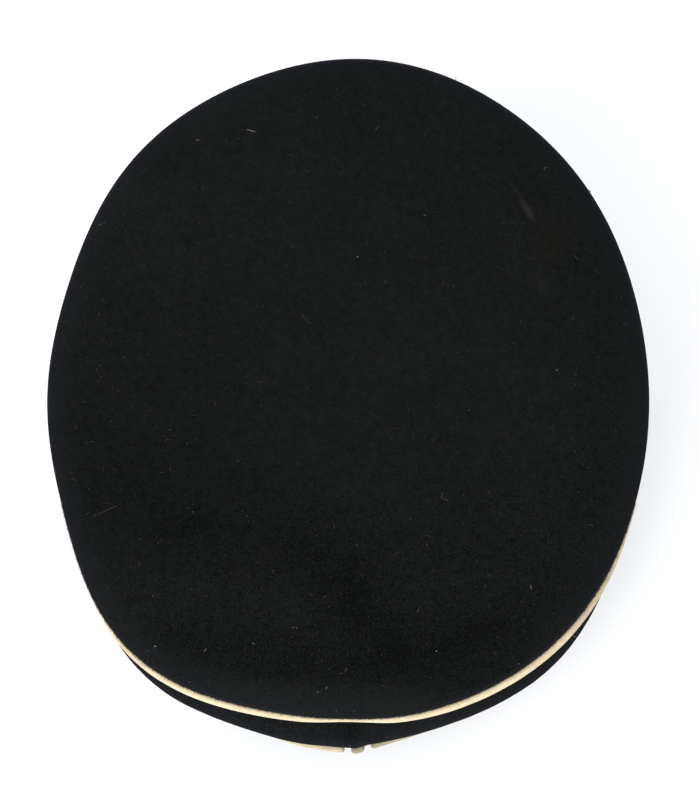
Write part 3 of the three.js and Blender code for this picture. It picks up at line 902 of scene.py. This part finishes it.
def make_band():
    """The cloth band: outer face, a rebate for its piping, a lip behind it, and the inner face. Its
    lower edge never reaches below the table."""
    angle = np.linspace(0, FULL_TURN, BAND_STEPS, endpoint=False)

    def line(out, up):
        return band_point(angle, out, up)

    def low(out, up):
        point = line(out, up)
        point[:, 2] = np.maximum(point[:, 2], table_height(point[:, 1]))
        return point

    lip = BAND_HEIGHT + BAND_PIPING_R
    face = [line(0, up) for up in np.linspace(BAND_HEIGHT - 2.2, FOOT, 16)]
    back = [line(-BAND_WALL, up) for up in np.linspace(FOOT, lip - 1, 10)]
    behind = band_piping_out(angle) - BAND_PIPING_R - FACET_GAP
    controls = [
        line(behind - 0.15, lip),
        line(behind, lip - 0.3),
        line(behind, BAND_HEIGHT - 0.8),
        line(0.4 * behind, BAND_HEIGHT - 1.6),
        *face,
        low(0, 1.2),
        low(-0.4, 0.3),
        low(-1.0, 0),
        low(1.0 - BAND_WALL, 0),
        low(0.4 - BAND_WALL, 0.3),
        low(-BAND_WALL, 1.2),
        *back,
        line(-BAND_WALL, lip - 0.3),
        line(0.15 - BAND_WALL, lip),
    ]
    grid = np.stack(controls, 1)
    grid = through(np.concatenate([grid, grid[:, :1]], 1), 2)[:, :-1]
    return shell("band_cloth", grid, nodes=["cap_band"], slot="band_cloth")


# ---- peak

PEAK_STEPS = (181, 28)
PEAK_ROUNDED_FROM, PEAK_ROUNDED_SHARE = 0.97, 0.03


def peak_point(side, way):
    """The peak's upper face: side runs from -1 to 1 across it, way from 0 at the root to 1 at the
    edge. The reach forward swings by a cosine, and the edge rises from the table."""
    side, way = np.broadcast_arrays(np.asarray(side, float), np.asarray(way, float))
    angle = side * math.radians(PEAK_HALF_ANGLE)
    root = band_point(angle, -PEAK_UNDER_BAND, -PEAK_GAP)
    swing = np.cos(side * math.pi / 2)
    reach = PEAK_END_REACH + (PEAK_REACH + PEAK_UNDER_BAND - PEAK_END_REACH) * swing
    splay = ((1 - swing) ** 1.5)[..., None]
    forward = np.array([0, -1.0, 0]) * (1 - splay) + outward(angle) * splay
    forward /= np.linalg.norm(forward, axis=-1, keepdims=True)
    edge = root + forward * reach[..., None]
    edge[..., 0] *= 1 + PEAK_SPREAD * swing
    rise = smooth_step(np.abs(side), PEAK_LEVEL_SHARE, 1) ** 1.5
    level = table_height(edge[..., 1]) + PEAK_THICK
    edge[..., 2] = level + (root[..., 2] - PEAK_END_FALL - level) * rise
    point = root + (edge - root) * way[..., None]
    point[..., 2] += PEAK_CROWNING * swing * np.sin(math.pi * way)
    return point


def make_peak():
    """The peak: an upper and a lower face, joined at the edge by a half round."""
    across, forward = PEAK_STEPS
    side = np.linspace(-1, 1, across)[:, None]
    way = np.linspace(0, 1, forward)
    rounded = np.clip((way - PEAK_ROUNDED_FROM) / PEAK_ROUNDED_SHARE, 0, 1)
    sink = 0.5 * PEAK_THICK * (1 - np.sqrt(1 - rounded**2))
    upper = peak_point(side, way)
    lower = upper.copy()
    upper[..., 2] -= sink
    lower[..., 2] += sink - PEAK_THICK
    grid = np.concatenate([upper[:, :-1], lower[:, ::-1]], 1)
    return shell("peak_shell", grid, is_ring=False, nodes=["peak"], slot="peak_lacquer")


top, top_grid = make_crown_top()
lint = make_lint(top_grid[:, :TOP_GRID_OUTER])
hem_fuzz = make_hem_fuzz()
sides = make_crown_side()
rim_piping = make_rim_piping()
band_piping, piping_fold = make_band_piping()
band = make_band()
peak = make_peak()

# ---- materials


def add_node(tree, kind, inputs=(), **settings):
    """A shader node; `inputs` gives each socket's value, or the output that feeds it."""
    made = tree.nodes.new("ShaderNode" + kind)
    for name, value in settings.items():
        setattr(made, name, value)
    for key, value in dict(inputs).items():
        if isinstance(value, bpy.types.NodeSocket):
            tree.links.new(value, made.inputs[key])
        else:
            made.inputs[key].default_value = value
    return made


def calculate(tree, operation, *values):
    """The result of a Math node."""
    made = add_node(tree, "Math", enumerate(values), operation=operation)
    return made.outputs[0]


def mix_colours(tree, share, first, second):
    """first where share is 0, second where it is 1."""
    inputs = {"Factor": share, 6: first, 7: second}
    made = add_node(tree, "Mix", inputs, data_type="RGBA")
    return made.outputs[2]


def noise(tree, place, scale, detail=2.0, roughness=0.5):
    """A noise texture's value, about 0.5 on average."""
    inputs = {"Vector": place, "Scale": scale, "Detail": detail, "Roughness": roughness}
    return add_node(tree, "TexNoise", inputs).outputs["Fac"]


def ramp(tree, value, span, ends, kind="SMOOTHSTEP"):
    """Runs from the first end to the second while the value crosses the span."""
    inputs = {"Value": value, 1: span[0], 2: span[1], 3: ends[0], 4: ends[1]}
    return add_node(tree, "MapRange", inputs, interpolation_type=kind).outputs[0]


def kept_value(tree, name):
    """The value that a mesh keeps for its points under this name."""
    return add_node(tree, "Attribute", attribute_name=name).outputs["Fac"]


FLOAT, COLOUR, VECTOR = "NodeSocketFloat", "NodeSocketColor", "NodeSocketVector"
WOOL_INPUTS = {
    "Tone": 0.0,
    "Grain": 1.26,
    "Deep Colour": (0.0020, 0.0024, 0.0022, 1),
    "Pale Colour": (0.0102, 0.0115, 0.0107, 1),
    "Dust": 0.5,
    "Dust Colour": (0.06, 0.06, 0.057, 1),
    # Painted sheen: a bluish colour laid over the wool as strongly as given.
    "Painted Sheen": 0.0,
    "Painted Sheen Colour": (0.0066, 0.0069, 0.0086, 1),
    "Rub": 0.0,
    "Rub Colour": (0.0072, 0.0061, 0.0049, 1),
    "Crease": 0.0,
    "Crease Colour": (0.026, 0.026, 0.0235, 1),
}
WOOL_OUTPUTS = {"Colour": COLOUR, "Height": FLOAT, "Roughness": FLOAT}

# The wool's noises: scale, detail and roughness.
NAP = (1300, 3.0, 0.7)
CLUMPS = (330, 2.0)
DRIFTS = (45, 3.0)
CLUMP_STRENGTH, DRIFT_STRENGTH = 0.58, 0.22
MEAN_TONE = 0.415
SPECK_CELLS = 420
SPECK_SIZE = (0.16, 0.04)  # a speck's edge and its full middle, as shares of a cell
SPECK_RARITY = 12.0


def make_wool_group():
    """Fulled wool: a fine nap, small clumps and broad drifts of tone added up, then a painted
    sheen, brown rubs and pale creases as strong as they are given, and pale specks of dust near
    the middle of each cell, as strong as a high power of the cell's own number."""
    tree = bpy.data.node_groups.new("fulled_wool", "ShaderNodeTree")
    add_socket = tree.interface.new_socket
    add_socket("Place", in_out="INPUT", socket_type=VECTOR)
    for label, value in WOOL_INPUTS.items():
        kind = COLOUR if isinstance(value, tuple) else FLOAT
        add_socket(label, in_out="INPUT", socket_type=kind).default_value = value
    for label, kind in WOOL_OUTPUTS.items():
        add_socket(label, in_out="OUTPUT", socket_type=kind)
    given = tree.nodes.new("NodeGroupInput").outputs
    result = tree.nodes.new("NodeGroupOutput").inputs
    place = given["Place"]
    nap, clumps, drifts = (noise(tree, place, *kind) for kind in (NAP, CLUMPS, DRIFTS))
    level = calculate(tree, "SUBTRACT", nap, 0.5)
    tone = calculate(tree, "MULTIPLY_ADD", level, given["Grain"], given["Tone"])
    tone = calculate(tree, "MULTIPLY_ADD", clumps, CLUMP_STRENGTH, tone)
    tone = calculate(tree, "MULTIPLY_ADD", drifts, DRIFT_STRENGTH, tone)
    tone = calculate(tree, "ADD", tone, MEAN_TONE - 0.5 * (CLUMP_STRENGTH + DRIFT_STRENGTH))
    wool = mix_colours(tree, tone, given["Deep Colour"], given["Pale Colour"])
    # The painted sheen.
    wool = mix_colours(tree, given["Painted Sheen"], wool, given["Painted Sheen Colour"])
    wool = mix_colours(tree, given["Rub"], wool, given["Rub Colour"])
    broken = calculate(tree, "MULTIPLY", given["Crease"], calculate(tree, "ADD", nap, 0.35))
    wool = mix_colours(tree, broken, wool, given["Crease Colour"])
    cells = add_node(tree, "TexVoronoi", {"Vector": place, "Scale": SPECK_CELLS})
    near = ramp(tree, cells.outputs["Distance"], SPECK_SIZE, (0.0, 1.0), "LINEAR")
    number = add_node(tree, "SeparateColor", {0: cells.outputs["Color"]}).outputs[0]
    rare = calculate(tree, "POWER", number, SPECK_RARITY)
    chosen = calculate(tree, "MULTIPLY", rare, given["Dust"])
    speck = calculate(tree, "MULTIPLY", near, chosen)
    colour = mix_colours(tree, speck, wool, given["Dust Colour"])
    tree.links.new(colour, result["Colour"])
    tree.links.new(calculate(tree, "ADD", nap, speck), result["Height"])
    rough = calculate(tree, "MULTIPLY_ADD", clumps, 0.1, 0.9)
    tree.links.new(rough, result["Roughness"])
    return tree


def new_material(name, sockets):
    """A material with one Principled BSDF whose even values are set on its own sockets."""
    material = bpy.data.materials.new(name)
    material.use_nodes = True
    tree = material.node_tree
    shader = tree.nodes["Principled BSDF"]
    set_sockets(shader, sockets)
    place = add_node(tree, "TexCoord").outputs["Object"]
    return material, tree, shader, place


def feed(tree, shader, colour, rough, height, strength, distance):
    """Feeds a shader its colour, its roughness and a bump by the height."""
    raised = {"Height": height, "Strength": strength, "Distance": distance}
    normal = add_node(tree, "Bump", raised).outputs["Normal"]
    for socket, output in (("Base Color", colour), ("Roughness", rough), ("Normal", normal)):
        tree.links.new(output, shader.inputs[socket])


def wool_material(name, wool, sockets, bump=0.25, worn=False):
    """Wool cloth: the shared group feeds colour, roughness and a fine bump."""
    material, tree, shader, place = new_material(name, sockets)
    inputs = {"Place": place, "Tone": kept_value(tree, "tone"), **wool}
    if worn:
        # The roll's painted sheen, from the top cloth's points.
        inputs["Painted Sheen"] = calculate(tree, "MULTIPLY", kept_value(tree, "painted_sheen"), PAINTED_SHEEN_STRENGTH)
        inputs["Grain"] = rougher_behind(tree, place)
        inputs["Rub"] = worn_places(tree, place, RUBS)
        inputs["Crease"] = worn_places(tree, place, CREASES)
    made = add_node(tree, "Group", inputs, node_tree=WOOL).outputs
    feed(tree, shader, made["Colour"], made["Roughness"], made["Height"], bump, NAP_DEPTH)
    return material


WOOL = make_wool_group()
NAP_DEPTH = 0.0003
# How strongly the roll's painted sheen is laid on.
PAINTED_SHEEN_STRENGTH = 0.5
TOP_HEIGHT = 115.0  # about the top's middle
ROUGHER_TOWARDS = (-0.25, 1.0, 0.0)
ROUGHER_SPAN = (-0.005, 0.085)  # metres that way
ROUGHER_GRAIN = (1.12, 2.2)

SHEEN = {"Sheen Roughness": 0.4, "Sheen Tint": (0.62, 0.6, 1.0, 1), "Specular IOR Level": 0.015}

# Worn places on the top: middle, half length and half width in millimetres, turn in degrees from
# the sideways line, and strength.
RUBS = [
    ((-82.3, -89.5), (12.5, 8.5), 60, 0.75),
    ((34.4, 34.7), (6.0, 5.0), 20, 0.4),
    ((46.5, 42.7), (6.0, 5.0), 20, 0.4),
]
CREASES = [
    ((-72.4, -101.8), (7.5, 2.3), 125, 0.5),
    ((-69.5, -106.5), (13.0, 1.8), 125, 0.12),
    ((-78.5, -74.0), (11.0, 5.0), 110, 0.1),
]


def rougher_behind(tree, place):
    """The strength of the nap's grain: even over the front, and rising towards the back right."""
    inputs = {0: place, 1: ROUGHER_TOWARDS}
    along = add_node(tree, "VectorMath", inputs, operation="DOT_PRODUCT")
    return ramp(tree, along.outputs["Value"], ROUGHER_SPAN, ROUGHER_GRAIN)


def worn_places(tree, place, rows):
    """The strongest of some soft ovals, each full in its middle and 0 outside its half sizes: a
    Mapping node moves and turns to the middle and divides by the sizes."""
    total = 0.0
    for middle, size, turn, strength in rows:
        placed = {
            "Vector": place,
            "Location": lean_back(np.array([*middle, TOP_HEIGHT])),
            "Rotation": (0, 0, math.radians(turn)),
            "Scale": (size[0] * MM, size[1] * MM, 1.0),
        }
        inside = add_node(tree, "Mapping", placed, vector_type="TEXTURE").outputs[0]
        flat = add_node(tree, "VectorMath", {0: inside}, operation="LENGTH").outputs[1]
        oval = ramp(tree, flat, (1.0, 0.0), (0.0, strength))
        total = calculate(tree, "MAXIMUM", oval, total)
    return total


TOP_SHEEN = {"Sheen Weight": 0.045, **SHEEN}
black_wool = wool_material("black_wool", {"Dust": 0.5}, TOP_SHEEN, worn=True)
SPECKLED = {"Dust": 1.6, "Grain": 3.2, "Pale Colour": (0.0122, 0.0136, 0.0146, 1)}
side_wool = wool_material("side_wool", SPECKLED, {"Sheen Weight": 0.012, **SHEEN}, bump=0.6)
CREAM = {
    "Deep Colour": (0.20, 0.165, 0.12, 1),
    "Pale Colour": (0.63, 0.535, 0.36, 1),
    "Dust Colour": (0.4, 0.33, 0.24, 1),
    "Dust": 0.3,
}
SOILED = {**CREAM, "Rub": 0.4, "Rub Colour": (0.42, 0.38, 0.25, 1)}
SMOOTH = {"Specular IOR Level": 0.2, "Sheen Weight": 0.1}
cream_cloth = wool_material("cream_cloth", CREAM, SMOOTH, bump=0.4)
soiled_cream = wool_material("soiled_cream_cloth", SOILED, SMOOTH, bump=0.4)

LACQUER = {"Specular IOR Level": 0.2, "Coat IOR": 1.3, "Coat Roughness": 0.08, "Coat Weight": 0.5}
LACQUER_DEEP, LACQUER_PALE = (0.003, 0.003, 0.0034, 1), (0.008, 0.008, 0.0088, 1)
HAZE = (60, 3.0)  # scales and details of its noises
DIMPLES = (110, 2.0)
FINE_GRAIN = (900, 2.0)


def lacquer_material():
    """Black lacquer over stiff board: a faint long unevenness and fine rubbed haze."""
    material, tree, shader, place = new_material("black_lacquer", LACQUER)
    haze, dimples, grain = (noise(tree, place, *kind) for kind in (HAZE, DIMPLES, FINE_GRAIN))
    colour = mix_colours(tree, haze, LACQUER_DEEP, LACQUER_PALE)
    rough = calculate(tree, "MULTIPLY_ADD", haze, 0.16, 0.32)
    height = calculate(tree, "MULTIPLY_ADD", grain, 0.3, dimples)
    feed(tree, shader, colour, rough, height, 0.12, 0.0004)
    return material


def lint_material():
    """Lint, hair and fuzz, each strand as pale as its own tone."""
    material, tree, shader, _ = new_material("lint", {"Roughness": 0.8, "Specular IOR Level": 0.1})
    colour = mix_colours(tree, kept_value(tree, "tone"), (0, 0, 0, 1), (1.0, 1.0, 0.94, 1))
    tree.links.new(colour, shader.inputs["Base Color"])
    return material


LOOKS = [
    (lint_material(), (lint, hem_fuzz)),
    (black_wool, (top,)),
    (side_wool, (*sides.values(), band)),
    (cream_cloth, (rim_piping,)),
    (soiled_cream, (band_piping, piping_fold)),
    (lacquer_material(), (peak,)),
]
for look, pieces in LOOKS:
    for piece in pieces:
        piece.data.materials.append(look)
